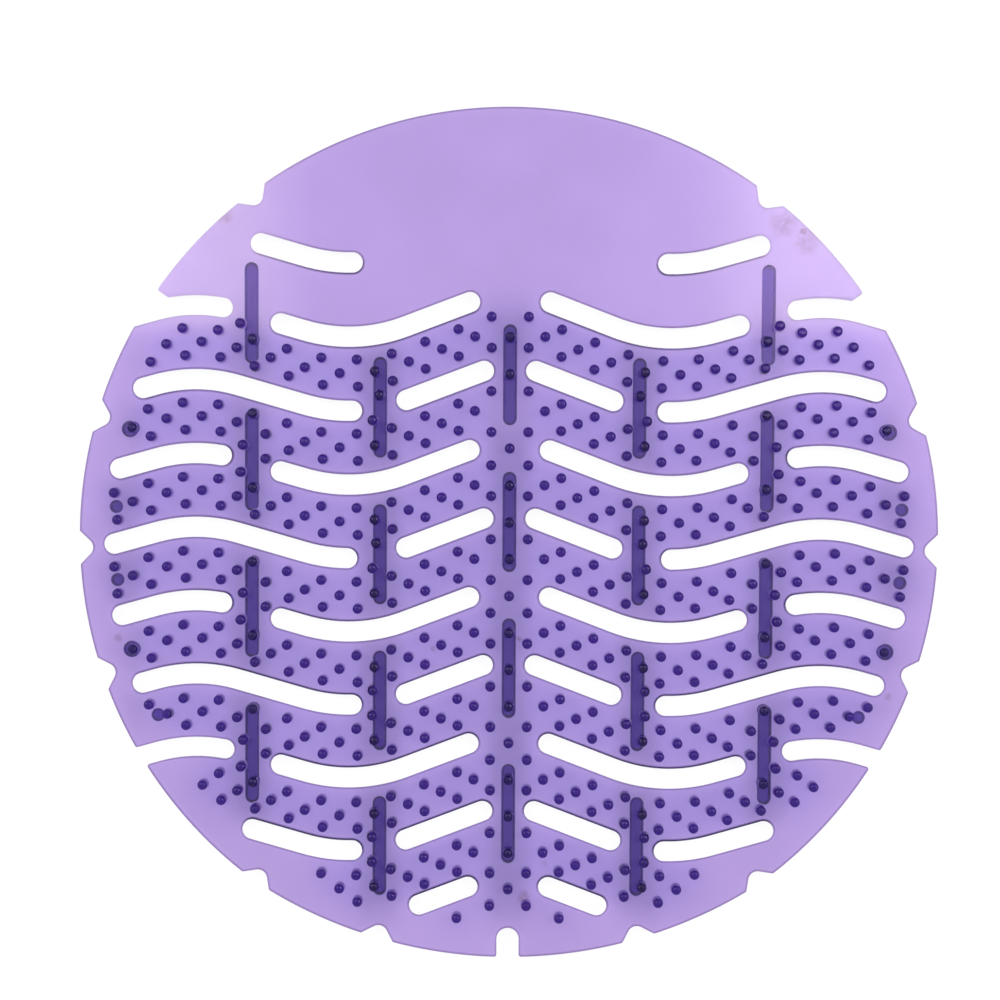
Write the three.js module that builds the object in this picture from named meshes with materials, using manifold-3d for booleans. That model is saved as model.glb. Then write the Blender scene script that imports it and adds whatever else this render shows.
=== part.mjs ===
// Urinal deodorizer screen, moulded in one piece from soft, see-through plastic.
// A thin disc lies in the plane of X and Y and is cut by waves of slots. Pins stand on its top,
// and bars and small feet under it hold it off the surface that it lies on.
// Sizes are in millimetres. X is to the right, Y is towards the plain cap, and Z is up.
import * as THREE from "three";
import { mergeGeometries, mergeVertices } from "three/addons/utils/BufferGeometryUtils.js";
import Module from "manifold-3d";

const wasm = await Module();
wasm.setup();

// Heights
const sheetThickness = 1.5;
const pinHeight = 3.2;
const barDepth = 2.2; // also the depth of the feet

// Outline: a disc whose lowest part, the chin, is a little flatter
const discRadius = 91.1;
const chinReach = 89.5; // from the disc's centre to the lowest point of the chin
const chinAngle = 143.7; // degrees from the top to where the chin starts, inside a notch
const discCentreY = (chinReach - discRadius) / 2;

// Notches in the rim: a right-angled V with a round bottom, and one deep straight notch in the chin
const notchAngles = [36.9, 73.5, 91.3, 108.5, 143.7, 161.9]; // degrees from the top, on both sides
const notchDepth = 2.8;
const notchRadius = 1.9;
const deepNotchDepth = 6.3;
const deepNotchWidth = 4.6;

// The wave that slots and pins follow, from the middle outwards: down, trough, up, crest, down
const innerSlope = 20.9; // degrees
const middleSlope = 15.9;
const outerSlope = 15.7;
const troughX = 34.15;
const troughRadius = 33.7;
const crestX = 66.2;
const crestRadius = 31.6;

// Rows of slots. A slot starts and ends at the centres of its round ends, as distances along the
// wave, and toRim is what is left between its tip and the rim
const slotWidth = 4;
const slotToRim = 5.4;
const capSlotToRim = 7.6;
const chinSlotToRim = 6.5;
const throughRim = -2.5 * slotWidth;
const rowPitch = 15.6;
const middleRowY = -4.9; // trough of row 0
const slotRows = [
  { row: 4, slots: [{ start: 35.1, toRim: capSlotToRim }] },
  { row: 3, slots: [{ start: 9.1, end: 50.6 }, { start: 63.2, toRim: throughRim }] },
  { row: 2, slots: [{ start: 5.9, end: 23.4 }, { start: 35.2, toRim: slotToRim }] },
  { row: 1, slots: [{ start: 9.1, end: 50.6 }, { start: 63.5, toRim: slotToRim }] },
  { row: 0, slots: [{ start: 5.9, end: 23.4 }, { start: 36.2, toRim: slotToRim }] },
  { row: -1, slots: [{ start: 9.1, end: 50.6 }, { start: 63.5, toRim: slotToRim }] },
  { row: -2, slots: [{ start: 5.9, end: 23.4 }, { start: 35.2, toRim: slotToRim }] },
  { row: -3, slots: [{ start: 9.1, end: 50.6 }, { start: 63, toRim: throughRim }] },
  { row: -4, slots: [{ start: 5.9, end: 23.4 }, { start: 35.1, toRim: chinSlotToRim }] },
  { row: -4.97, slots: [{ start: 9.2, end: 20.3 }] },
];
const upperOpenRow = 3;
const tipCutOffset = 4.2; // along the rim, from the upper open slot to the cut that blunts the tip over it

// Pins stand in the bands between the rows, at even steps along the wave: one in the middle of the
// band at an even step, and a pair at an odd one
const pinDiameter = 2.35;
const pinSides = 4;
const pinStep = 3.72;
const firstPin = 0.45; // distance along the wave of step 0
const pinPairOffset = 2.85;
const pairLean = 1 / 720; // sideways shift of a pair's pins, for each millimetre up and out
const pinToRim = 5; // least way from a pin's side to the rim
const bands = [
  { band: 2, upperEnd: 19, lowerEnd: 21 }, // last step of the upper and of the lower pins
  { band: 1, upperEnd: 22, lowerEnd: 22, besideLongSlots: true },
  { band: 0, upperEnd: 23, lowerEnd: 23 },
  { band: -1, upperEnd: 23, lowerEnd: 23, besideLongSlots: true },
  { band: -2, upperEnd: 22, lowerEnd: 22 },
  { band: -3, upperEnd: 21, lowerEnd: 19, besideLongSlots: true },
  { band: -4, upperEnd: 18, lowerEnd: 18 },
  { band: -5, upperEnd: 11, lowerEnd: 9, besideLongSlots: true },
  { band: -6, upperEnd: 3, lowerEnd: 0 },
];
const firstPinDrop = 0.8; // how much lower the first lower pin of a band stands
const firstPinDropBesideLongSlots = 2.9;
const bridgeSteps = [14, 15]; // where a band's pins make way for those of the outer bridge
const middlePins = { first: -10, last: 5, missing: 3 };

// Pins on the bridges between the slots of a row, with heights over the row's trough
const innerBridges = [{ row: 2, x: 27.5 }, { row: 0, x: 28.1 }, { row: -2, x: 28.8 }, { row: -4, x: 28.9 }];
const innerBridgeUpper = 3.3;
const innerBridgeLower = { x: 28.9, height: -2 };
const outerBridgeRows = [1, -1, -3];
const outerBridgePins = [[51.4, 10.6], [51.4, 5.4], [56.2, 8.3], [56.7, 2.6]];
const capBridgeRow = 3; // has only the last of these

// Bars under the bridges, in columns that repeat downwards at two rows' pitch. A column's first bar
// has its middle at a height over a row's trough
const barWidth = 2.6;
const barLength = 21;
const barsInColumn = 4;
const barColumns = [
  { x: 0, row: 2, height: 7.8 },
  { x: 27.5, row: 2, height: 0.8 },
  { x: 54.7, row: 3, height: 5 },
];

// Feet under the outer ends of the bands, in their middle
const footDiameter = 3.2;
const smallFootDiameter = 2.5;
const footSides = 6;
const footRim = 7.4; // from the feet's middles to the rim
const feet = [
  { band: 1, diameter: footDiameter },
  { band: 0, diameter: smallFootDiameter },
  { band: -1, diameter: smallFootDiameter },
  { band: -2, diameter: footDiameter },
  { band: -3, diameter: smallFootDiameter },
];

// Facets
const endFacets = 3; // of a round end
const arcFacet = 12.5; // degrees of the wave's arcs in one facet, at most
const rimFacet = 6; // degrees of the rim in one facet, at most
const notchFacet = 30;

const radians = THREE.MathUtils.degToRad;
const sheetBottom = barDepth;
const sheetTop = sheetBottom + sheetThickness;
const bite = sheetThickness / 3; // how far pins and bars are let into the sheet, to join it
const overshoot = 1; // how far a cutter stands out of what it cuts

// The wave as stretches of a given length, each turning left by an angle in radians
function waveStretches() {
  const [inner, middle, outer] = [innerSlope, middleSlope, outerSlope].map(radians);
  const troughStart = troughX - troughRadius * Math.sin(inner);
  const troughEnd = troughX + troughRadius * Math.sin(middle);
  const crestStart = crestX - crestRadius * Math.sin(middle);
  return {
    startHeight: troughRadius * (1 - Math.cos(inner)) + troughStart * Math.tan(inner),
    stretches: [
      { length: troughStart / Math.cos(inner), turn: 0 },
      { length: troughRadius * (inner + middle), turn: inner + middle },
      { length: (crestStart - troughEnd) / Math.cos(middle), turn: 0 },
      { length: crestRadius * (middle + outer), turn: -(middle + outer) },
      { length: Infinity, turn: 0 },
    ],
  };
}
const wave = waveStretches();

// The wave's point and heading at a distance along it, with y as the height over the trough
function waveAt(distance) {
  let [x, y, heading] = [0, wave.startHeight, -radians(innerSlope)];
  let left = distance;
  for (const { length, turn } of wave.stretches) {
    const run = Math.min(left, length);
    if (turn === 0) {
      x += run * Math.cos(heading);
      y += run * Math.sin(heading);
    } else {
      const radius = length / turn;
      const next = heading + run / radius;
      x += radius * (Math.sin(next) - Math.sin(heading));
      y -= radius * (Math.cos(next) - Math.cos(heading));
      heading = next;
    }
    left -= run;
    if (left <= 0) break;
  }
  return { x, y, heading };
}

// The distance along a row's wave at which it comes as near to the rim as given
function distanceToRim(row, left) {
  let [near, far] = [0, 2 * discRadius];
  while (far - near > 0.001) {
    const middle = (near + far) / 2;
    const { x, y } = waveAt(middle);
    const inside = Math.hypot(x, rowTrough(row) + y - discCentreY) < discRadius - left;
    if (inside) near = middle;
    else far = middle;
  }
  return near;
}

// Distances along the wave that draw it from start to end: both ends, and steps within the arcs
function waveMarks(start, end) {
  const marks = [start];
  let from = 0;
  for (const { length, turn } of wave.stretches) {
    const steps = turn === 0 ? 1 : Math.ceil(Math.abs(turn) / radians(arcFacet));
    for (let i = 1; i <= steps; i++) {
      marks.push(from + (length * i) / steps);
    }
    from += length;
  }
  const apart = slotWidth / 4;
  return [...marks.filter((s, i) => i === 0 || (s > start + apart && s < end - apart)), end];
}

// The outline of a stroke with round ends round a line of points with headings
function stroke(line, width) {
  const outline = [];
  const half = width / 2;
  const around = ({ x, y, heading }, turn) =>
    new THREE.Vector2(x + half * Math.sin(heading + turn), y - half * Math.cos(heading + turn));
  line.forEach((point) => outline.push(around(point, 0)));
  for (let i = 1; i < endFacets; i++) {
    outline.push(around(line.at(-1), (Math.PI * i) / endFacets));
  }
  [...line].reverse().forEach((point) => outline.push(around(point, Math.PI)));
  for (let i = 1; i < endFacets; i++) {
    outline.push(around(line[0], Math.PI + (Math.PI * i) / endFacets));
  }
  return outline;
}

// Points of an arc round a centre, with angles in radians from the top, clockwise
function arc(centre, radius, start, end, facet) {
  const steps = Math.ceil(Math.abs(end - start) / radians(facet));
  return Array.from({ length: steps + 1 }, (_, i) => {
    const angle = start + ((end - start) * i) / steps;
    return new THREE.Vector2(centre.x + radius * Math.sin(angle), centre.y + radius * Math.cos(angle));
  });
}

function mirrored(outline) {
  return outline.map(({ x, y }) => new THREE.Vector2(-x, y)).reverse();
}

function prism(outline, bottom, top) {
  const settings = { depth: top - bottom, bevelEnabled: false };
  return new THREE.ExtrudeGeometry(new THREE.Shape(outline), settings).translate(0, 0, bottom);
}

// Joins closed shapes that don't touch each other into one solid
function solidOf(geometries) {
  const plain = geometries.map((geometry) => {
    const bare = geometry.index ? geometry.toNonIndexed() : geometry;
    bare.deleteAttribute("normal");
    bare.deleteAttribute("uv");
    return bare;
  });
  const merged = mergeVertices(mergeGeometries(plain));
  const mesh = new wasm.Mesh({
    numProp: 3,
    vertProperties: new Float32Array(merged.attributes.position.array),
    triVerts: new Uint32Array(merged.index.array),
  });
  return new wasm.Manifold(mesh);
}

const cutter = (outline) => prism(outline, sheetBottom - overshoot, sheetTop + overshoot);

function discOutline() {
  const centre = new THREE.Vector2(0, discCentreY);
  const turn = radians(chinAngle);
  const halfChord = discRadius * Math.sin(turn);
  const chordDrop = -discRadius * Math.cos(turn);
  const sagitta = chinReach - chordDrop;
  const chinRadius = (halfChord ** 2 + sagitta ** 2) / (2 * sagitta);
  const chinCentre = new THREE.Vector2(0, discCentreY - chinReach + chinRadius);
  const chinTurn = Math.asin(halfChord / chinRadius);
  const side = arc(centre, discRadius, -turn, turn, rimFacet);
  const chin = arc(chinCentre, chinRadius, Math.PI - chinTurn, Math.PI + chinTurn, rimFacet);
  return [...side, ...chin.slice(1, -1)];
}

// Distance of the rim from the disc's centre, at an angle in radians from the top
function rimReach(angle) {
  if (angle <= radians(chinAngle)) return discRadius;
  const part = (angle - radians(chinAngle)) / (Math.PI - radians(chinAngle));
  return discRadius + (chinReach - discRadius) * part;
}

// A notch with its flanks at 45 degrees to the rim, which run on past the rim
function notchOutline(angle) {
  const out = new THREE.Vector2(Math.sin(angle), Math.cos(angle));
  const centre = out.clone().multiplyScalar(rimReach(angle) - notchDepth + notchRadius);
  centre.y += discCentreY;
  const round = arc(centre, notchRadius, angle + (Math.PI * 3) / 4, angle + (Math.PI * 5) / 4, notchFacet);
  const flank = (turn) => new THREE.Vector2(Math.sin(angle + turn), Math.cos(angle + turn));
  const run = notchDepth + notchRadius;
  const first = round[0].clone().addScaledVector(flank(Math.PI / 4), run);
  const last = round.at(-1).clone().addScaledVector(flank(-Math.PI / 4), run);
  return [first, ...round, last];
}

function deepNotchOutline() {
  const top = discCentreY - chinReach + deepNotchDepth - deepNotchWidth / 2;
  const line = [0, deepNotchDepth].map((drop) => ({ x: 0, y: top - drop, heading: -Math.PI / 2 }));
  return stroke(line, deepNotchWidth);
}

const rowTrough = (row) => middleRowY + row * rowPitch;

function slotOutline(row, { start, end, toRim }) {
  const stop = end ?? distanceToRim(row, toRim + slotWidth / 2);
  const line = waveMarks(start, stop).map((distance) => {
    const point = waveAt(distance);
    return { ...point, y: rowTrough(row) + point.y };
  });
  return stroke(line, slotWidth);
}

// A radial cut as wide as a slot, which blunts the tip over the upper open slot
function tipCutOutline() {
  const exit = waveAt(distanceToRim(upperOpenRow, 0));
  const exitAngle = Math.atan2(exit.x, rowTrough(upperOpenRow) + exit.y - discCentreY);
  const angle = exitAngle - tipCutOffset / discRadius;
  const line = [discRadius - slotWidth, discRadius + slotWidth].map((reach) => ({
    x: reach * Math.sin(angle),
    y: discCentreY + reach * Math.cos(angle),
    heading: Math.PI / 2 - angle,
  }));
  return stroke(line, slotWidth);
}

// A band's pins on the right half
function bandPins({ band, upperEnd, lowerEnd, besideLongSlots }) {
  const places = [];
  for (let step = 1; step <= Math.max(upperEnd, lowerEnd); step++) {
    const { x, y } = waveAt(firstPin + step * pinStep);
    const middle = rowTrough(band + 0.5) + y;
    const makesWay = besideLongSlots && bridgeSteps.includes(step);
    if (step % 2 === 0) {
      if (step <= (upperEnd + lowerEnd) / 2 && !makesWay) places.push({ x, y: middle });
      continue;
    }
    const lean = x * pinPairOffset * pairLean;
    const firstDrop = besideLongSlots ? firstPinDropBesideLongSlots : firstPinDrop;
    const drop = pinPairOffset + (step === 1 ? firstDrop : 0);
    if (step <= upperEnd) places.push({ x: x + lean, y: middle + pinPairOffset });
    if (step <= lowerEnd && !makesWay) places.push({ x: x - lean, y: middle - drop });
  }
  return places;
}

function bridgePins() {
  const inner = innerBridges.flatMap(({ row, x }) => [
    { x, y: rowTrough(row) + innerBridgeUpper },
    { x: innerBridgeLower.x, y: rowTrough(row) + innerBridgeLower.height },
  ]);
  const outer = outerBridgeRows.flatMap((row) =>
    outerBridgePins.map(([x, height]) => ({ x, y: rowTrough(row) + height })));
  const [x, height] = outerBridgePins.at(-1);
  return [...inner, ...outer, { x, y: rowTrough(capBridgeRow) + height }];
}

function middlePinPlaces() {
  const places = [];
  for (let i = middlePins.first; i <= middlePins.last; i++) {
    const y = rowTrough(0.5) + (i * rowPitch) / 2;
    if (i !== middlePins.missing) places.push({ x: 0, y });
  }
  return places;
}

function pinPlaces() {
  const reach = discRadius - pinToRim - pinDiameter / 2;
  const right = [...bands.flatMap(bandPins), ...bridgePins()];
  const left = right.map(({ x, y }) => ({ x: -x, y }));
  const all = [...right, ...left, ...middlePinPlaces()];
  return all.filter(({ x, y }) => Math.hypot(x, y - discCentreY) < reach);
}

function footPlaces() {
  return feet.flatMap(({ band, diameter }) => {
    const point = waveAt(distanceToRim(band + 0.5, footRim));
    const y = rowTrough(band + 0.5) + point.y;
    return [{ x: point.x, y, diameter }, { x: -point.x, y, diameter }];
  });
}

// An upright post with as many sides as given and the area of the round one
function post({ x, y }, diameter, sides, bottom, top) {
  const share = (2 * Math.PI) / sides;
  const radius = (diameter / 2) * Math.sqrt(share / Math.sin(share));
  const outline = Array.from({ length: sides }, (_, i) => {
    const angle = share * (i + 0.5);
    return new THREE.Vector2(x + radius * Math.cos(angle), y + radius * Math.sin(angle));
  });
  return prism(outline, bottom, top);
}

function barOutlines() {
  const outlines = [];
  const half = (barLength - barWidth) / 2;
  for (const { x, row, height } of barColumns) {
    for (let i = 0; i < barsInColumn; i++) {
      const y = rowTrough(row - 2 * i) + height;
      const line = [-half, half].map((rise) => ({ x, y: y + rise, heading: Math.PI / 2 }));
      const outline = stroke(line, barWidth);
      outlines.push(outline);
      if (x > 0) outlines.push(mirrored(outline));
    }
  }
  return outlines;
}

function screenSolid() {
  const disc = solidOf([prism(discOutline(), sheetBottom, sheetTop)]);
  const slots = slotRows.flatMap(({ row, slots }) => slots.map((slot) => slotOutline(row, slot)));
  const notches = notchAngles.map((angle) => notchOutline(radians(angle)));
  const tipCut = tipCutOutline();
  const cuts = [...slots, ...notches].flatMap((outline) => [outline, mirrored(outline)]);
  const pins = pinPlaces().map((place) =>
    post(place, pinDiameter, pinSides, sheetTop - bite, sheetTop + pinHeight));
  const bars = barOutlines().map((outline) => prism(outline, 0, sheetBottom + bite));
  const posts = footPlaces().map((foot) => post(foot, foot.diameter, footSides, 0, sheetBottom + bite));
  return disc
    .subtract(solidOf(cuts.map(cutter)))
    .subtract(solidOf([tipCut, mirrored(tipCut), deepNotchOutline()].map(cutter)))
    .add(solidOf(pins))
    .add(solidOf([...bars, ...posts]));
}

function geometryOf(solid) {
  const { vertProperties, triVerts } = solid.getMesh();
  const geometry = new THREE.BufferGeometry();
  geometry.setAttribute("position", new THREE.BufferAttribute(vertProperties, 3));
  geometry.setIndex(new THREE.BufferAttribute(triVerts, 1));
  geometry.computeVertexNormals();
  return geometry;
}

const lilacPlastic = new THREE.MeshStandardMaterial({ color: 0xb29bdc, roughness: 0.4, metalness: 0 });

const screen = new THREE.Mesh(geometryOf(screenSolid()), lilacPlastic);
screen.name = "screen";

const part = new THREE.Group();
part.add(screen);

export default part;
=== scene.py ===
"""Urinal deodorizer screen: the fine skin of the moulding, its see-through plastic, and a studio.

Sizes are in millimetres and angles in degrees, up to the mesh itself, which is in metres.
"""

import math

import bmesh
import bpy
import numpy as np
from mathutils import Euler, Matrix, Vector, geometry


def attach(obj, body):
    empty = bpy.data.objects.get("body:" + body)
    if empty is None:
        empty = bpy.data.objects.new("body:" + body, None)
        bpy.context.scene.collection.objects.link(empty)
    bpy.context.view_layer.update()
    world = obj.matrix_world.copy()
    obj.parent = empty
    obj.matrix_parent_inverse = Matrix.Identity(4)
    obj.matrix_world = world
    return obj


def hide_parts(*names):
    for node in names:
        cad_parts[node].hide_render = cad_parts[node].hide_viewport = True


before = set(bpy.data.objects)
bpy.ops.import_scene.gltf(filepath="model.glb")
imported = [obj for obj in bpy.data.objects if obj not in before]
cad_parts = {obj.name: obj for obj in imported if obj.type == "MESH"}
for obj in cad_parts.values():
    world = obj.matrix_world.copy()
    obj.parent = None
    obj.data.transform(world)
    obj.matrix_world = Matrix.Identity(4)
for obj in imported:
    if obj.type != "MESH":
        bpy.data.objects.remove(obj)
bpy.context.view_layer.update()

MM = 0.001
MIRROR = np.array([-1, 1])  # turns a point of one half into its like on the other

# Heights
BAR_DEPTH = 2.2
SHEET_THICKNESS = 1.5
PIN_HEIGHT = 3.2
SHEET_BOTTOM = BAR_DEPTH
SHEET_TOP = SHEET_BOTTOM + SHEET_THICKNESS
PIN_TOP = SHEET_TOP + PIN_HEIGHT

# Rim: a disc with a flatter chin, V notches, one deep notch and the open slots
DISC_RADIUS = 91.1
CHIN_REACH = 89.5  # from the disc's centre to the middle of the chin
CHIN_ANGLE = 143.7  # from the top, where the chin begins
DISC_CENTRE_Y = (CHIN_REACH - DISC_RADIUS) / 2
NOTCH_ANGLES = [36.9, 73.5, 91.3, 108.5, 143.7, 161.9]  # from the top
NOTCH_DEPTH = 2.8
NOTCH_RADIUS = 1.9  # of its round bottom
NOTCH_FLANK = 45  # between a notch's flank and its middle line
DEEP_NOTCH_DEPTH = 6.3
DEEP_NOTCH_WIDTH = 4.6
TIP_CUT_OFFSET = 4.2  # along the rim, from an open slot to where the thin tip over it is cut off
RIM_CORNER_RADIUS = 0.6
BLUNT_CORNER = 150  # a corner that opens wider than this isn't rounded
CORNER_SHARE = 0.45  # of the shorter side beside a corner, the most that its rounding takes
MITRE_LIMIT = 2  # how many times as far as its sides a corner of the rim may be inset

# The wave that the slots follow: down from the middle to a trough, and up to a crest
INNER_SLOPE = 20.9
MIDDLE_SLOPE = 15.9
OUTER_SLOPE = 15.7
TROUGH_X = 34.15
TROUGH_RADIUS = 33.7
CREST_X = 66.2
CREST_RADIUS = 31.6

# Rows of slots: (row, slots), and a slot is (start, end, distance from its tip to the rim)
SLOT_WIDTH = 4
SLOT_TO_RIM = 5.4
CAP_SLOT_TO_RIM = 7.6
CHIN_SLOT_TO_RIM = 6.5
ROW_PITCH = 15.6
MIDDLE_ROW_Y = -4.9
INNER_SHORT = (5.9, 23.4, None)
INNER_LONG = (9.1, 50.6, None)
SLOT_ROWS = [
    (4, [(35.1, None, CAP_SLOT_TO_RIM)]),
    (3, [INNER_LONG]),
    (2, [INNER_SHORT, (35.2, None, SLOT_TO_RIM)]),
    (1, [INNER_LONG, (63.5, None, SLOT_TO_RIM)]),
    (0, [INNER_SHORT, (36.2, None, SLOT_TO_RIM)]),
    (-1, [INNER_LONG, (63.5, None, SLOT_TO_RIM)]),
    (-2, [INNER_SHORT, (35.2, None, SLOT_TO_RIM)]),
    (-3, [INNER_LONG]),
    (-4, [INNER_SHORT, (35.1, None, CHIN_SLOT_TO_RIM)]),
    (-4.97, [(9.2, 20.3, None)]),
]
OPEN_SLOTS = [(3, 63.2), (-3, 63)]  # (row, start): these run out through the rim
OPEN_SLOT_RUN = 12  # how far past the rim an open slot's line is drawn

# Edges: past an inset of about 0.5 in all, the rim's ring would cross itself in its corners
EDGE_RADIUS = 0.42
RIM_EASE = 0.07  # how far the finished rim keeps inside the solid's
SLOT_EDGE_RADIUS = 0.4
SLOT_EASE = 0.12  # how much wider the finished slots are on each side
SLOT_DRAFT = 0.2  # how much further back a slot's wall is at the underside

# Pins, bars and feet, as they are finished
PIN_DIAMETER = 2.25
PIN_DRAFT = 0.06  # how much thinner a pin's radius is at its tip
PIN_FILLET = 0.2
PIN_TIP_RADIUS = 0.75
BAR_WIDTH = 2.6
BAR_LENGTH = 21
BAR_DRAFT = 0.15
BAR_FILLET = 0.3
BAR_EDGE_RADIUS = 0.3
FOOT_DIAMETERS = (3.2, 2.5)

# Facets
PIN_SIDES = 16
FOOT_SIDES = 32
END_FACETS = 14  # of a slot's or a bar's round end
NOTCH_FACETS = 8  # of a notch's round bottom
CORNER_FACETS = 6  # of a rounded corner of the rim
BAR_STEPS = 8  # along a bar
ROUND_TURNS = (0, 30, 60, 90)  # round an edge, from the flat face to the side
FILLET_TURNS = (0, 45, 90)
LINE_STEP = 1.6  # between points along a slot
RIM_STEP = 2.4
GRID_STEP = 4.0  # between the free points of the sheet's faces
GRID_CLEARANCE = GRID_STEP / 3  # from a free point to the nearest loop
GRID_MARGIN = 3  # between the grid's outermost points and the disc's radius

# Tolerances
WAVE_TOLERANCE = 0.001  # of a distance along the wave
LEVEL_TOLERANCE = 0.01  # between the height asked for and that of a patch
PLACE_DECIMALS = 2  # corners that agree to these are one corner
WELD = 1e-6  # points nearer than this count as one in a face
INSIDE_ONLY = 1  # has the triangulation leave out what lies outside all outlines


def wave_stretches():
    """The height of the wave's start, and its stretches as (length, turn to the left)."""
    inner, middle, outer = (math.radians(s) for s in (INNER_SLOPE, MIDDLE_SLOPE, OUTER_SLOPE))
    trough_start = TROUGH_X - TROUGH_RADIUS * math.sin(inner)
    trough_end = TROUGH_X + TROUGH_RADIUS * math.sin(middle)
    crest_start = CREST_X - CREST_RADIUS * math.sin(middle)
    start_height = TROUGH_RADIUS * (1 - math.cos(inner)) + trough_start * math.tan(inner)
    return start_height, [
        (trough_start / math.cos(inner), 0),
        (TROUGH_RADIUS * (inner + middle), inner + middle),
        ((crest_start - trough_end) / math.cos(middle), 0),
        (CREST_RADIUS * (middle + outer), -(middle + outer)),
        (math.inf, 0),
    ]


WAVE_START, WAVE = wave_stretches()


def wave_at(distance):
    """(x, height over the trough, heading) at a distance along the wave."""
    x, y, heading, left = 0.0, WAVE_START, -math.radians(INNER_SLOPE), distance
    for length, turn in WAVE:
        run = min(left, length)
        if turn == 0:
            x += run * math.cos(heading)
            y += run * math.sin(heading)
        else:
            radius = length / turn
            after = heading + run / radius
            x += radius * (math.sin(after) - math.sin(heading))
            y -= radius * (math.cos(after) - math.cos(heading))
            heading = after
        left -= run
        if left <= 0:
            break
    return x, y, heading


def trough_of(row):
    """The Y of the trough of a row's wave."""
    return MIDDLE_ROW_Y + row * ROW_PITCH


def distance_to_rim(row, left):
    """The distance along a row's wave at which it comes as near to the rim as given."""
    near, far = 0.0, 2 * DISC_RADIUS
    while far - near > WAVE_TOLERANCE:
        middle = (near + far) / 2
        x, y, _ = wave_at(middle)
        if math.hypot(x, trough_of(row) + y - DISC_CENTRE_Y) < DISC_RADIUS - left:
            near = middle
        else:
            far = middle
    return near


def steps_between(start, end, step):
    """Evenly spaced values from start to end, no further apart than a step."""
    return np.linspace(start, end, max(2, math.ceil(abs(end - start) / step) + 1))


def wave_line(row, start, end):
    """Points (x, y, heading) along a row's wave."""
    line = [wave_at(d) for d in steps_between(start, end, LINE_STEP)]
    return [(x, trough_of(row) + y, heading) for x, y, heading in line]


class Loop:
    """A closed line of points in the plane, with a unit normal at each that points into the material.

    The mitre says how many times as far a point moves as its sides do when the loop is inset.
    """

    def __init__(self, points, normals, mitre=None):
        self.points = np.array(points, float)
        self.normals = np.array(normals, float)
        self.mitre = np.ones(len(self.points)) if mitre is None else mitre

    def mirrored(self):
        """The line on the other half, in reverse order, so that it runs the same way round."""
        return Loop((self.points * MIRROR)[::-1], (self.normals * MIRROR)[::-1])

    def turned_out(self):
        """The same line with its normals the other way."""
        return Loop(self.points, -self.normals)


def stroke(line, width):
    """The loop round a line of (x, y, heading) with round ends, as a hole: its normals point away."""
    sides = [(p, 0) for p in line]
    sides += [(line[-1], math.pi * i / END_FACETS) for i in range(1, END_FACETS)]
    sides += [(p, math.pi) for p in reversed(line)]
    sides += [(line[0], math.pi * (1 + i / END_FACETS)) for i in range(1, END_FACETS)]
    normals = [(math.sin(p[2] + turn), -math.cos(p[2] + turn)) for p, turn in sides]
    points = [(p[0] + width / 2 * n[0], p[1] + width / 2 * n[1]) for (p, _), n in zip(sides, normals)]
    return Loop(points, normals)


def circle(centre, radius, sides):
    """The loop of a round post: its normals point in, to its middle."""
    angles = np.arange(sides) * 2 * math.pi / sides
    out = np.column_stack([np.cos(angles), np.sin(angles)])
    return Loop(np.array(centre) + radius * out, -out)


def slot_loops():
    """The loops of the closed slots, on the right and mirrored on the left."""
    loops = []
    for row, slots in SLOT_ROWS:
        for start, end, to_rim in slots:
            stop = end if end is not None else distance_to_rim(row, to_rim + SLOT_WIDTH / 2)
            loop = stroke(wave_line(row, start, stop), SLOT_WIDTH)
            loops += [loop, loop.mirrored()]
    return loops


def rim_reach(angle):
    """The rim's distance from the disc's centre, at an angle in radians from the top."""
    chin = math.radians(CHIN_ANGLE)
    if angle <= chin:
        return DISC_RADIUS
    half_chord = DISC_RADIUS * math.sin(chin)
    sagitta = CHIN_REACH + DISC_RADIUS * math.cos(chin)
    radius = (half_chord**2 + sagitta**2) / (2 * sagitta)
    centre = radius - CHIN_REACH
    return centre * math.cos(angle) + math.sqrt(radius**2 - (centre * math.sin(angle)) ** 2)


def towards(angle):
    """The unit vector at an angle in radians from the top, clockwise."""
    return np.array([math.sin(angle), math.cos(angle)])


def polar(angle, reach):
    """The point at an angle in radians from the top, and a distance from the disc's centre."""
    return np.array([reach * math.sin(angle), DISC_CENTRE_Y + reach * math.cos(angle)])


def angle_of(point):
    """A point's angle in radians round the disc's centre, from the top."""
    return math.atan2(point[0], point[1] - DISC_CENTRE_Y)


def notch_line(angle):
    """A V notch with a round bottom, from outside the rim to outside it again."""
    centre = polar(angle, rim_reach(angle) - NOTCH_DEPTH + NOTCH_RADIUS)
    half_turn = 90 - NOTCH_FLANK
    turns = np.radians(np.linspace(180 - half_turn, 180 + half_turn, NOTCH_FACETS + 1)) + angle
    bottom = [centre + NOTCH_RADIUS * towards(t) for t in turns]
    flank = math.radians(NOTCH_FLANK)
    run = NOTCH_DEPTH + NOTCH_RADIUS
    start = bottom[-1] + run * towards(angle - flank)
    end = bottom[0] + run * towards(angle + flank)
    return [start, *reversed(bottom), end]


def deep_notch_line():
    """The right half of the deep notch, from outside the rim to the middle."""
    radius = DEEP_NOTCH_WIDTH / 2
    centre = np.array([0, DISC_CENTRE_Y - CHIN_REACH + DEEP_NOTCH_DEPTH - radius])
    turns = np.radians(np.linspace(90, 0, NOTCH_FACETS + 1))
    round_end = [centre + radius * towards(t) for t in turns]
    return [round_end[0] - np.array([0, 2 * DEEP_NOTCH_DEPTH]), *round_end]


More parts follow.
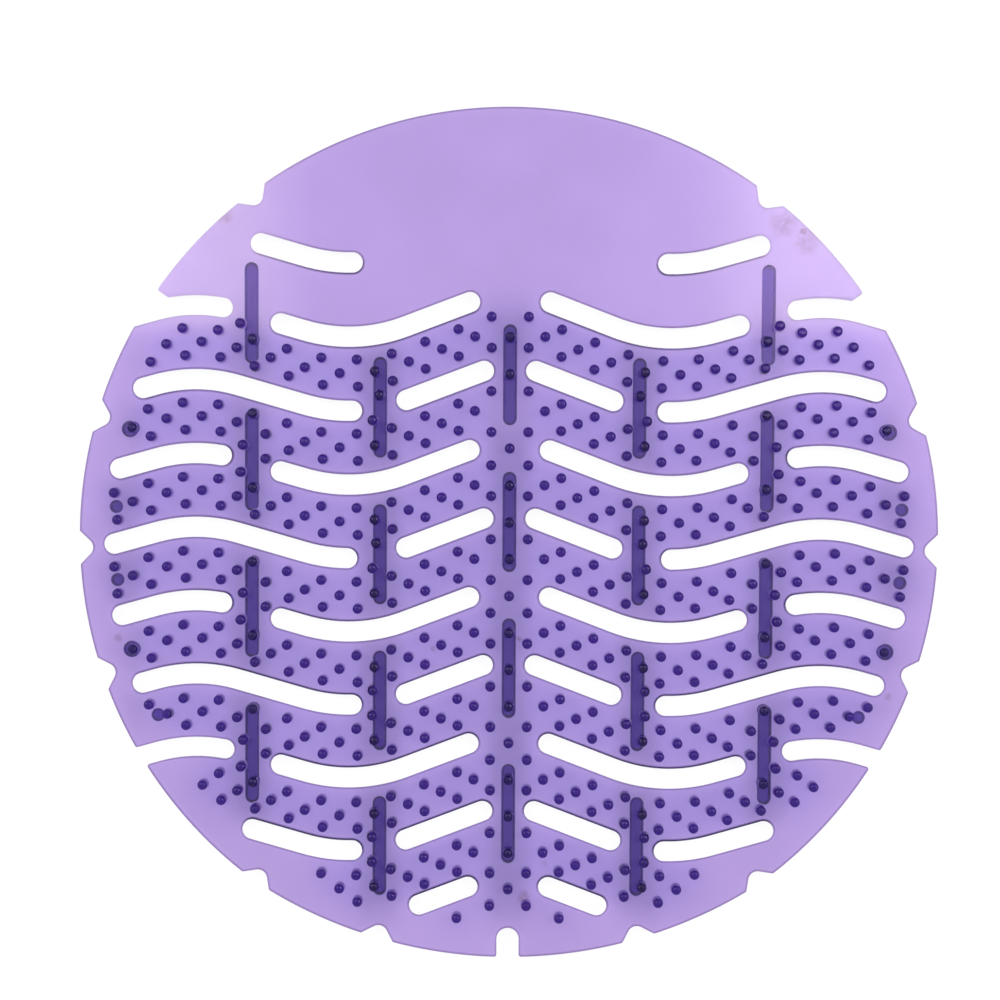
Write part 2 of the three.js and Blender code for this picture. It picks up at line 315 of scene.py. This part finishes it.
def open_slot_line(row, start, blunt):
    """An open slot's edge, from outside the rim along its upper side and back along its lower one.

    Where it is blunt, the thin tip of the sheet over the slot is cut off.
    """
    line = wave_line(row, start, distance_to_rim(row, 0) + OPEN_SLOT_RUN)
    loop = stroke(line, SLOT_WIDTH).points
    upper_start = len(line) + END_FACETS - 1
    points = [*loop[upper_start:], *loop[: len(line)]]
    if not blunt:
        return points
    x, y, _ = wave_at(distance_to_rim(row, 0))
    exit_angle = angle_of((x, trough_of(row) + y))
    cut_angle = exit_angle - (TIP_CUT_OFFSET + SLOT_WIDTH / 2) / DISC_RADIUS
    kept = next(i for i, p in enumerate(points) if angle_of(p) < cut_angle)
    out, within = points[kept - 1], points[kept]
    share = (cut_angle - angle_of(within)) / (angle_of(out) - angle_of(within))
    corner = within + share * (out - within)
    return [polar(cut_angle, DISC_RADIUS + SLOT_WIDTH), corner, *apart_from(corner, points[kept:])]


def apart_from(corner, points):
    """The points of a line that starts near a corner, without those that crowd it."""
    return [p for p in points if np.linalg.norm(p - corner) > 2 * RIM_CORNER_RADIUS]


def clipped(line):
    """The part of a line that lies inside the rim, with both crossings, as points."""
    reach = [math.hypot(p[0], p[1] - DISC_CENTRE_Y) for p in line]
    depth = [rim_reach(abs(angle_of(p))) - r for p, r in zip(line, reach)]
    inside_rim = [i for i, d in enumerate(depth) if d > 0]
    first, last = inside_rim[0], inside_rim[-1]
    points = [np.array(line[i]) for i in range(first, last + 1)]

    def crossing(out, within):
        share = depth[within] / (depth[within] - depth[out])
        return np.array(line[within]) + share * (np.array(line[out]) - np.array(line[within]))

    if first > 0:
        start = crossing(first - 1, first)
        points = [start, *apart_from(start, points)]
    if last < len(line) - 1:
        end = crossing(last + 1, last)
        points = [*apart_from(end, points), end]
    return points


def rounded(points, radius):
    """A closed line with its sharp corners rounded."""
    result = []
    for before, corner, after in zip(points[-1:] + points[:-1], points, points[1:] + points[:1]):
        back, ahead = before - corner, after - corner
        reach = min(np.linalg.norm(back), np.linalg.norm(ahead))
        back, ahead = back / np.linalg.norm(back), ahead / np.linalg.norm(ahead)
        opening = math.acos(float(np.clip(np.dot(back, ahead), -1, 1)))
        if opening > math.radians(BLUNT_CORNER):
            result.append(corner)
            continue
        cut = min(radius / math.tan(opening / 2), CORNER_SHARE * reach)
        real = cut * math.tan(opening / 2)
        middle = (back + ahead) / np.linalg.norm(back + ahead)
        centre = corner + middle * real / math.sin(opening / 2)
        start, end = corner + back * cut - centre, corner + ahead * cut - centre
        sweep = math.pi - opening
        side = math.copysign(1, start[0] * end[1] - start[1] * end[0])
        for share in np.linspace(0, 1, CORNER_FACETS + 1):
            c, s = math.cos(side * sweep * share), math.sin(side * sweep * share)
            result.append(centre + np.array([c * start[0] - s * start[1], s * start[0] + c * start[1]]))
    return result


def right_rim():
    """The right half of the rim, from the top to the middle of the deep notch."""
    cuts = [notch_line(math.radians(a)) for a in NOTCH_ANGLES]
    cuts += [open_slot_line(row, start, row > 0) for row, start in OPEN_SLOTS]
    cuts = sorted((clipped(cut) for cut in cuts), key=lambda cut: angle_of(cut[0]))
    cuts.append(clipped(deep_notch_line()))
    points, angle = [], 0.0
    for cut in cuts:
        arc = steps_between(angle, angle_of(cut[0]), RIM_STEP / DISC_RADIUS)[:-1]
        new = arc if angle == 0 else arc[1:]  # a later arc starts where the cut before it ended
        points += [polar(a, rim_reach(a)) for a in new]
        points += cut
        angle = angle_of(cut[-1])
    return points


def rim_loop():
    """The rim as one loop, clockwise from the top, with its normals pointing into the sheet."""
    right = right_rim()
    left = [p * MIRROR for p in right[-2:0:-1]]
    points = np.array(rounded(right + left, RIM_CORNER_RADIUS))
    edges = np.roll(points, -1, axis=0) - points
    edges /= np.linalg.norm(edges, axis=1)[:, None]
    inward = np.column_stack([edges[:, 1], -edges[:, 0]])
    normals = inward + np.roll(inward, 1, axis=0)
    normals /= np.linalg.norm(normals, axis=1)[:, None]
    mitre = 1 / np.maximum((normals * inward).sum(1), 1 / MITRE_LIMIT)
    return Loop(points, normals, mitre)


def islands(height):
    """Boxes (lowest, highest corner) in the plane, of each flat patch of the CAD solid at a height."""
    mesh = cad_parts["screen"].data
    patches, patch_of = [], {}
    for polygon in mesh.polygons:
        corners = [mesh.vertices[v].co / MM for v in polygon.vertices]
        if any(abs(c.z - height) > LEVEL_TOLERANCE for c in corners):
            continue
        places = [(round(c.x, PLACE_DECIMALS), round(c.y, PLACE_DECIMALS)) for c in corners]
        joined = {patch_of[p] for p in places if p in patch_of}
        merged = set(places).union(*(patches[i] for i in joined))
        patches.append(merged)
        for i in joined:
            patches[i] = set()
        for p in merged:
            patch_of[p] = len(patches) - 1
    patches = [np.array(list(patch)) for patch in patches if patch]
    return [(patch.min(0), patch.max(0)) for patch in patches]


class Skin:
    """The one closed mesh of the moulding, as it is put together."""

    def __init__(self):
        self.points = []
        self.normals = []
        self.wall_shades = []  # 1 for a point on the wall of the rim or of a slot, 0 for one on a flat face: the share of the walls' painted shade
        self.faces = []

    def add(self, points, normals, wall_shade=0.0):
        """Adds points and returns their numbers."""
        first = len(self.points)
        self.points += [tuple(p) for p in points]
        self.normals += [tuple(n) for n in normals]
        self.wall_shades += [wall_shade] * len(points)
        return list(range(first, len(self.points)))

    def ring(self, loop, offset, height, out, up):
        """A ring of points round a loop, at an offset into the material. Its normals lean out of it."""
        plane = loop.points + loop.normals * (offset * loop.mitre)[:, None]
        points = np.column_stack([plane, np.full(len(plane), height)])
        normals = np.column_stack([-loop.normals * out, np.full(len(plane), up)])
        on_sheet = SHEET_BOTTOM <= height <= SHEET_TOP
        # on the sheet's edges this is the share of the walls' painted shade
        return self.add(points, normals, min(1.0, WALL_SHADE_RISE * out) if on_sheet else 0.0)

    def rings(self, loop, profile):
        """Rings along a profile of (offset, height, out, up), joined by faces. Returns the end rings."""
        made = [self.ring(loop, *stop) for stop in profile]
        for one, two in zip(made, made[1:]):
            for i in range(len(one)):
                j = (i + 1) % len(one)
                self.faces.append((one[i], one[j], two[j], two[i]))
        return made[0], made[-1]

    def sheet_face(self, outer, holes, free, height, up):
        """A flat face between a ring and the rings of its holes, with free points in it."""
        loops = [outer[::-1], *holes]  # all of them run anticlockwise
        own = [i for loop in loops for i in loop]
        own += self.add([(x, y, height) for x, y in free], [(0, 0, up)] * len(free))
        flat = [Vector(self.points[i][:2]) for i in own]
        outlines, start = [], 0
        for loop in loops:
            outlines.append(list(range(start, start + len(loop))))
            start += len(loop)
        found = geometry.delaunay_2d_cdt(flat, [], outlines, INSIDE_ONLY, WELD, True)
        _, _, triangles, origins, _, owners = found
        for triangle, owners_of_it in zip(triangles, owners):
            if list(owners_of_it) == [0]:  # in the outer loop and in no hole
                self.faces.append(tuple(own[origins[v][0]] for v in triangle))


def edge_profile(radius, ease, draft=0.0):
    """The rounded edge of the sheet, from its top face to its bottom face."""
    fall = [(math.sin(t), math.cos(t)) for t in np.radians(ROUND_TURNS)]
    top = [(radius * (1 - out), SHEET_TOP - radius * (1 - up), out, up) for out, up in fall]
    both = SHEET_BOTTOM + SHEET_TOP
    bottom = [(offset + draft, both - z, out, -up) for offset, z, out, up in reversed(top)]
    return [(offset + ease, *rest) for offset, *rest in top + bottom]


def boss_profile(base, tip, fillet, draft, round_off):
    """The side of a boss, from its fillet on the sheet to the flat of its tip."""
    way = math.copysign(1, tip - base)
    rise = [(math.sin(t), math.cos(t)) for t in np.radians(FILLET_TURNS)]
    foot = [(-fillet * (1 - out), base + way * fillet * (1 - up), out, way * up) for out, up in rise]
    fall = [(math.cos(t), math.sin(t)) for t in np.radians(ROUND_TURNS)]
    lean = draft + round_off
    end = [(lean - round_off * out, tip - way * round_off * (1 - up), out, way * up) for out, up in fall]
    return foot + end


def free_points(outer, holes):
    """Points of an even grid over the sheet that keep clear of all the loops."""
    span = np.arange(-DISC_RADIUS, DISC_RADIUS, GRID_STEP)
    grid = [(x + (j % 2) * GRID_STEP / 2, y) for j, y in enumerate(span) for x in span]
    grid = np.array([p for p in grid if math.hypot(*p) < DISC_RADIUS - GRID_MARGIN])
    lines = np.concatenate([loop.points for loop in (outer, *holes)])
    clear = [np.min(np.hypot(*(lines - p).T)) > GRID_CLEARANCE for p in grid]
    grid = [p for p in grid[clear] if inside(outer.points, p)]
    return [p for p in grid if not any(inside(hole.points, p) for hole in holes)]


def inside(outline, point):
    """True if the point lies within the closed outline."""
    x, y = outline[:, 0], outline[:, 1]
    x2, y2 = np.roll(x, -1), np.roll(y, -1)
    spans = (y > point[1]) != (y2 > point[1])
    with np.errstate(divide="ignore", invalid="ignore"):
        crossing = x + (point[1] - y) * (x2 - x) / (y2 - y)
    return bool(np.sum(spans & (crossing > point[0])) % 2)


def bars_and_feet():
    """The loops of the bars and feet under the sheet, where the CAD solid has them."""
    loops = []
    for low, high in islands(0):
        (x, y), (width, length) = (low + high) / 2, high - low
        if length > 2 * width:
            rises = np.linspace(-1, 1, BAR_STEPS + 1) * (BAR_LENGTH - BAR_WIDTH) / 2
            loops.append(stroke([(x, y + rise, math.pi / 2) for rise in rises], BAR_WIDTH).turned_out())
        else:
            diameter = min(FOOT_DIAMETERS, key=lambda d: abs(d - width))
            loops.append(circle((x, y), diameter / 2, FOOT_SIDES))
    return loops


def screen_skin():
    """The whole moulding as one closed mesh, and the places of its pins."""
    rim = rim_loop()
    slots = slot_loops()
    pin_places = [(low + high) / 2 for low, high in islands(PIN_TOP)]
    pins = [circle(p, PIN_DIAMETER / 2, PIN_SIDES) for p in pin_places]
    under = bars_and_feet()
    rim_edge = edge_profile(EDGE_RADIUS, RIM_EASE)
    slot_edge = edge_profile(SLOT_EDGE_RADIUS, SLOT_EASE, SLOT_DRAFT)
    pin_side = boss_profile(SHEET_TOP, PIN_TOP, PIN_FILLET, PIN_DRAFT, PIN_TIP_RADIUS)
    under_side = boss_profile(SHEET_BOTTOM, 0, BAR_FILLET, BAR_DRAFT, BAR_EDGE_RADIUS)

    skin = Skin()
    rim_top, rim_bottom = skin.rings(rim, rim_edge)
    slot_rings = [skin.rings(loop, slot_edge) for loop in slots]
    pin_rings = [skin.rings(loop, pin_side) for loop in pins]
    under_rings = [skin.rings(loop, under_side) for loop in under]
    skin.faces += [tuple(end) for _, end in pin_rings + under_rings]
    top_holes = [first for first, _ in slot_rings + pin_rings]
    skin.sheet_face(rim_top, top_holes, free_points(rim, slots + pins), SHEET_TOP, 1)
    bottom_holes = [last for _, last in slot_rings] + [first for first, _ in under_rings]
    skin.sheet_face(rim_bottom, bottom_holes, free_points(rim, slots + under), SHEET_BOTTOM, -1)
    return skin, np.array(pin_places)


# Camera and floor
CAMERA_PLACE = (0, 16, 450)
CAMERA_TILT = -2.669  # about X
CAMERA_LEAN = -0.255  # about Y
CAMERA_ROLL = 0.272  # about its own line of sight
VIEW_WIDTH = 213.53  # of the plane at the camera's distance, across the frame
CAMERA_SHIFT = (-0.0186, 0.0586)
FLOOR_SIDE = 6000
FLOOR_DROP = 0.05  # below the bars, so that the two never lie in one plane
FLOOR_TINT = (0.9, 0.9, 0.9)
FLOOR_GLOW = 0.92  # share of the floor's plain white that no shadow reaches

# Light: a lamp is (name, place, width, power, whether the plastic mirrors it)
WHITE = (1, 1, 1)
WORLD_LIGHT = 0.45
LAMPS = [
    ("lamp_left", (-900, 500, 1400), 900, 22, False),
    ("lamp_right", (1000, 300, 1300), 800, 22, False),
    ("sheen_left", (-320, 215, 1400), 230, 0.9, True),
    ("sheen_right", (310, 215, 1400), 240, 2.3, True),
]

# Plastic
VOLUME_DENSITY = 620  # per metre
VOLUME_COLOUR = (0.41, 0.09, 0.74)
ROUGHNESS = 0.22
IOR = 1.4
TRANSMISSION = 0.97
CAP_TINT = (0.84, 0.80, 0.95)  # where there are no pins
FIELD_SHADE_TINT = (0.66, 0.65, 0.90)  # among the pins: painted shade, the darkening that the pins cast into the sheet round them
WALL_SHADE_TINT = (0.42, 0.36, 0.48)  # of the walls of the rim and the slots: painted shade, the dark line that their rounded edges show
PIN_TINT = (0.055, 0.018, 0.21)
BAR_TINT = (0.13, 0.08, 0.36)
BAR_SHADE = (0.8, 0.8, 0.8)  # of the sheet beside the bars
PAINTED_SHEEN_TINT = (1.0, 1.0, 1.0)  # painted sheen on the wings: a lamp's reflection painted in as lighter colour
SHINE_TINT = (0.72, 0.54, 1.0)  # of what the faces mirror
DIRT_TINT = (0.5, 0.42, 0.3)

# Where each tint sets in
WALL_SHADE_RISE = 1.6  # how soon the walls' painted shade is full on the rounded edge
CROWD_REACH = 5.0  # how far the painted shade of a pin spreads in the sheet
CROWD_FULL = 2.6  # as many pins at one place give the full painted shade
BAR_PITCH = 27.5  # between the columns of bars
PIN_TINT_START = 0.1  # over the sheet
PIN_TINT_FULL = 0.2  # under the tip
BAR_TINT_FULL = 0.6  # over the underside
LEFT_WING = (-60, -40)  # the X from full painted sheen to none
RIGHT_WING = (34, 62)  # the X from no painted sheen to full
WING_FOOT = (40, 48)  # the Y from no painted sheen to full
MARK_FULL = 0.4  # share of a mark's radius at which it starts to fade
MARK_END = 1.2  # and at which it has faded
MARKS = [  # of dirt: x, y, radius, strength
    (61.6, 64.4, 1.0, 1.0), (57.5, 66.0, 3.2, 0.5), (62.5, 62.0, 3.0, 0.4), (-60.2, 67.1, 2.2, 0.45),
    (-82.9, -22.1, 1.1, 0.6), (80.8, -33.9, 0.9, 0.6), (-16.0, -24.0, 0.8, 0.6), (2.2, -21.9, 0.8, 0.7),
    (7.7, -70.1, 0.8, 0.6), (3.3, -77.1, 1.6, 0.7), (1.1, -25.3, 0.7, 0.5),
]

# Noise is (scale per metre, detail, roughness), and a range is (start, end, value there, value there)
BAR_SHADE_RANGE = (0.05, 0.24, 1.0, 0.0)  # in column pitches from a bar's middle
STREAK_NOISE = (110, 4, 0.65)
STREAK_RANGE = (0.25, 0.6, 0.75, 1.0)
CLOUD_NOISE = (60, 3, 0.5)
CLOUD_RANGE = (0.3, 0.7, 0.95, 1.0)
DIRT_NOISE = (700, 4, 0.7)
DIRT_RANGE = (0.35, 0.6, 0.0, 1.0)
GRAIN_NOISE = (900, 2, 0.5)
GRAIN_DEPTH = 0.2
GRAIN_STRENGTH = 0.04


class Tree:
    """Adds nodes to a material's or world's node tree in short calls."""

    def __init__(self, owner):
        owner.use_nodes = True
        self.tree = owner.node_tree
        self.tree.nodes.clear()

    def node(self, kind, values=None, **settings):
        """A new node with settings of its own, and its inputs' values or links."""
        node = self.tree.nodes.new(kind)
        for name, value in settings.items():
            setattr(node, name, value)
        for name, value in (values or {}).items():
            self.feed(node.inputs[name], value)
        return node

    def feed(self, socket, value):
        """Links the socket to another node's output, or sets its own value."""
        if isinstance(value, bpy.types.NodeSocket):
            self.tree.links.new(value, socket)
        elif isinstance(value, tuple) and socket.type == "RGBA":
            socket.default_value = (*value, 1)
        else:
            socket.default_value = value

    def attribute(self, name):
        return self.node("ShaderNodeAttribute", attribute_name=name).outputs["Fac"]

    def math(self, operation, one, two=0.0):
        return self.node("ShaderNodeMath", {0: one, 1: two}, operation=operation).outputs[0]

    def mix(self, share, one, two, blend="MIX"):
        node = self.node("ShaderNodeMix", data_type="RGBA", blend_type=blend)
        for index, value in ((0, share), (6, one), (7, two)):
            self.feed(node.inputs[index], value)
        return node.outputs[2]

    def ramp(self, value, start, end, low=0.0, high=1.0):
        """A smooth step from low to high, as the value goes from start to end."""
        values = {"Value": value, "From Min": start, "From Max": end, "To Min": low, "To Max": high}
        return self.node("ShaderNodeMapRange", values, interpolation_type="SMOOTHSTEP").outputs["Result"]

    def ramp_mm(self, value, start, end, low=0.0, high=1.0):
        """A ramp over a length of the object, from start to end in millimetres."""
        return self.ramp(value, start * MM, end * MM, low, high)

    def noise(self, place, scale, detail, roughness):
        values = {"Vector": place, "Scale": scale, "Detail": detail, "Roughness": roughness}
        return self.node("ShaderNodeTexNoise", values).outputs["Fac"]


def plastic():
    """The see-through lilac plastic: it takes away light by its depth, and a little more at its faces,
    whose colour also holds painted shade and a painted sheen.
    """
    material = bpy.data.materials.new("lilac_vinyl")
    t = Tree(material)
    place = t.node("ShaderNodeTexCoord").outputs["Object"]
    grain = t.noise(place, *GRAIN_NOISE)
    bump = t.node("ShaderNodeBump", {
        "Strength": GRAIN_STRENGTH, "Distance": GRAIN_DEPTH * MM, "Height": grain,
    })
    shader = t.node("ShaderNodeBsdfPrincipled", {
        "Base Color": face_colour(t, place), "Roughness": ROUGHNESS, "IOR": IOR,
        "Specular Tint": SHINE_TINT, "Transmission Weight": TRANSMISSION, "Normal": bump.outputs["Normal"],
    })
    volume = t.node("ShaderNodeVolumeAbsorption", {"Color": VOLUME_COLOUR, "Density": VOLUME_DENSITY})
    t.node("ShaderNodeOutputMaterial", {"Surface": shader.outputs[0], "Volume": volume.outputs[0]})
    return material


def face_colour(t, place):
    """The tint that light takes from a face: by pin and bar, with painted shade on the walls, among the
    pins and beside the bars, a painted sheen on the wings, and clouds and dirt in it.
    """
    at = t.node("ShaderNodeSeparateXYZ", {"Vector": place}).outputs
    pin_shade_share = t.attribute("pin_shade_share")
    # painted shade among the pins, where they darken the sheet round them
    colour = t.mix(pin_shade_share, CAP_TINT, FIELD_SHADE_TINT)
    # painted shade on the walls of the rim and the slots
    colour = t.mix(t.attribute("wall_shade"), colour, WALL_SHADE_TINT, "MULTIPLY")
    # painted sheen: the wings lightened as if they mirrored a lamp
    colour = t.mix(painted_sheen_share(t, place, at), colour, PAINTED_SHEEN_TINT)
    colour = t.mix(t.math("MULTIPLY", near_bars(t, at), pin_shade_share), colour, BAR_SHADE, "MULTIPLY")
    on_pin = t.ramp_mm(at["Z"], SHEET_TOP + PIN_TINT_START, PIN_TOP - PIN_TINT_FULL)
    colour = t.mix(on_pin, colour, PIN_TINT, "MULTIPLY")
    on_bar = t.ramp_mm(at["Z"], BAR_TINT_FULL, SHEET_BOTTOM, 1.0, 0.0)
    colour = t.mix(on_bar, colour, BAR_TINT, "MULTIPLY")
    clouds = t.ramp(t.noise(place, *CLOUD_NOISE), *CLOUD_RANGE)
    colour = t.mix(1.0, colour, clouds, "MULTIPLY")
    return t.mix(dirt_share(t, place), colour, DIRT_TINT, "MULTIPLY")


def painted_sheen_share(t, place, at):
    """The share of painted sheen: full on the two wings beside the cap, and broken by streaks."""
    left = t.ramp_mm(at["X"], *LEFT_WING, 1.0, 0.0)
    right = t.ramp_mm(at["X"], *RIGHT_WING)
    wings = t.math("MULTIPLY", t.math("MAXIMUM", left, right), t.ramp_mm(at["Y"], *WING_FOOT))
    streaks = t.ramp(t.noise(place, *STREAK_NOISE), *STREAK_RANGE)
    return t.math("MULTIPLY", wings, streaks)


def near_bars(t, at):
    """1 over the columns of bars, and less further beside them."""
    columns = t.math("DIVIDE", t.math("ABSOLUTE", at["X"]), BAR_PITCH * MM)
    beside = t.math("ABSOLUTE", t.math("SUBTRACT", columns, t.math("ROUND", columns)))
    return t.ramp(beside, *BAR_SHADE_RANGE)


def dirt_share(t, place):
    """The share of dirt: the brownish smudges and specks that the moulding has on it."""
    ragged = t.ramp(t.noise(place, *DIRT_NOISE), *DIRT_RANGE)
    dirt = 0.0
    for x, y, radius, strength in MARKS:
        spot = (x * MM, y * MM, SHEET_TOP * MM)
        away = t.node("ShaderNodeVectorMath", {0: place, 1: spot}, operation="DISTANCE").outputs["Value"]
        mark = t.ramp_mm(away, MARK_FULL * radius, MARK_END * radius, strength, 0.0)
        dirt = t.math("MAXIMUM", dirt, t.math("MULTIPLY", mark, ragged))
    return dirt


def seen_share(t):
    """1 for rays that show the surroundings to the camera, straight, mirrored or through the plastic."""
    path = t.node("ShaderNodeLightPath").outputs
    share = t.math("MAXIMUM", path["Is Camera Ray"], path["Is Glossy Ray"])
    return t.math("MAXIMUM", share, path["Is Transmission Ray"])


def floor_material():
    """A floor that shows as white, and keeps a share of the object's shadow."""
    material = bpy.data.materials.new("studio_floor")
    t = Tree(material)
    lit = t.node("ShaderNodeBsdfDiffuse", {"Color": FLOOR_TINT}).outputs[0]
    white = t.node("ShaderNodeEmission", {"Color": WHITE, "Strength": 1.0}).outputs[0]
    share = t.math("MULTIPLY", seen_share(t), FLOOR_GLOW)
    both = t.node("ShaderNodeMixShader", {0: share, 1: lit, 2: white}).outputs[0]
    t.node("ShaderNodeOutputMaterial", {"Surface": both})
    return material


def add_screen():
    """The finished screen, which stands for the CAD solid."""
    skin, pins = screen_skin()
    mesh = bpy.data.meshes.new("deodorizer_screen")
    mesh.from_pydata([Vector(p) * MM for p in skin.points], [], skin.faces)
    mesh.validate()
    fix_facing(mesh)
    mesh.shade_smooth()
    normals = np.array(skin.normals)
    normals /= np.linalg.norm(normals, axis=1)[:, None]
    mesh.normals_split_custom_set_from_vertices(normals)
    # the share of painted shade among the pins
    add_attribute(mesh, "pin_shade_share", pin_shade_mask(np.array(skin.points)[:, :2], pins))
    # the share of painted shade on the walls
    add_attribute(mesh, "wall_shade", skin.wall_shades)
    mesh.materials.append(plastic())
    piece = bpy.data.objects.new("deodorizer_screen", mesh)
    bpy.context.collection.objects.link(piece)
    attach(piece, "root")
    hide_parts("screen")


def fix_facing(mesh):
    """Turns all faces of the closed mesh outwards."""
    bm = bmesh.new()
    bm.from_mesh(mesh)
    bmesh.ops.recalc_face_normals(bm, faces=bm.faces)
    bm.to_mesh(mesh)
    bm.free()


def add_attribute(mesh, name, values):
    """Gives each point of the mesh a number that the material reads by its name."""
    attribute = mesh.attributes.new(name, "FLOAT", "POINT")
    attribute.data.foreach_set("value", np.array(values, np.float32))


def pin_shade_mask(places, pins):
    """How crowded with pins the sheet is at each place, from 0 to 1: the share of the painted shade among
    them.
    """
    crowd = np.zeros(len(places), np.float32)
    for pin in pins:
        crowd += np.exp(-((places - pin) ** 2).sum(1) / CROWD_REACH**2)
    return np.clip(crowd / CROWD_FULL, 0, 1)


def add_floor():
    """A plain square floor, just under the bars and feet."""
    half = FLOOR_SIDE / 2 * MM
    mesh = bpy.data.meshes.new("studio_floor")
    square = ((-half, -half), (half, -half), (half, half), (-half, half))
    corners = [(x, y, -FLOOR_DROP * MM) for x, y in square]
    mesh.from_pydata(corners, [], [(0, 1, 2, 3)])
    mesh.materials.append(floor_material())
    floor = bpy.data.objects.new("studio_floor", mesh)
    bpy.context.collection.objects.link(floor)


def add_lamp(name, place, width, power, mirrored):
    """A round lamp that points at the origin."""
    lamp = bpy.data.lights.new(name, "AREA")
    lamp.shape = "DISK"
    lamp.size = width * MM
    lamp.energy = power
    holder = bpy.data.objects.new(name, lamp)
    holder.location = Vector(place) * MM
    holder.visible_glossy = mirrored
    holder.rotation_euler = (-holder.location).to_track_quat("-Z", "Y").to_euler()
    bpy.context.collection.objects.link(holder)


def add_world():
    """A soft light from all round, and plain white where it is seen."""
    world = bpy.data.worlds.new("studio")
    t = Tree(world)
    light = t.node("ShaderNodeBackground", {"Color": WHITE, "Strength": WORLD_LIGHT}).outputs[0]
    white = t.node("ShaderNodeBackground", {"Color": WHITE, "Strength": 1.0}).outputs[0]
    both = t.node("ShaderNodeMixShader", {0: seen_share(t), 1: light, 2: white}).outputs[0]
    t.node("ShaderNodeOutputWorld", {"Surface": both})
    bpy.context.scene.world = world


def add_camera():
    """The photograph's view, straight down on the screen but for a few degrees."""
    lens = bpy.data.cameras.new("camera")
    lens.lens = lens.sensor_width * CAMERA_PLACE[2] / VIEW_WIDTH
    lens.shift_x, lens.shift_y = CAMERA_SHIFT
    camera = bpy.data.objects.new("camera", lens)
    camera.location = Vector(CAMERA_PLACE) * MM
    tilt = Euler((math.radians(CAMERA_TILT), 0, 0)).to_matrix()
    lean = Euler((0, math.radians(CAMERA_LEAN), 0)).to_matrix()
    roll = Euler((0, 0, math.radians(CAMERA_ROLL))).to_matrix()
    camera.rotation_euler = (lean @ tilt @ roll).to_euler()
    bpy.context.collection.objects.link(camera)
    bpy.context.scene.camera = camera


add_camera()
add_world()
add_floor()
for one_lamp in LAMPS:
    add_lamp(*one_lamp)
add_screen()
bpy.context.scene.view_settings.view_transform = "Standard"
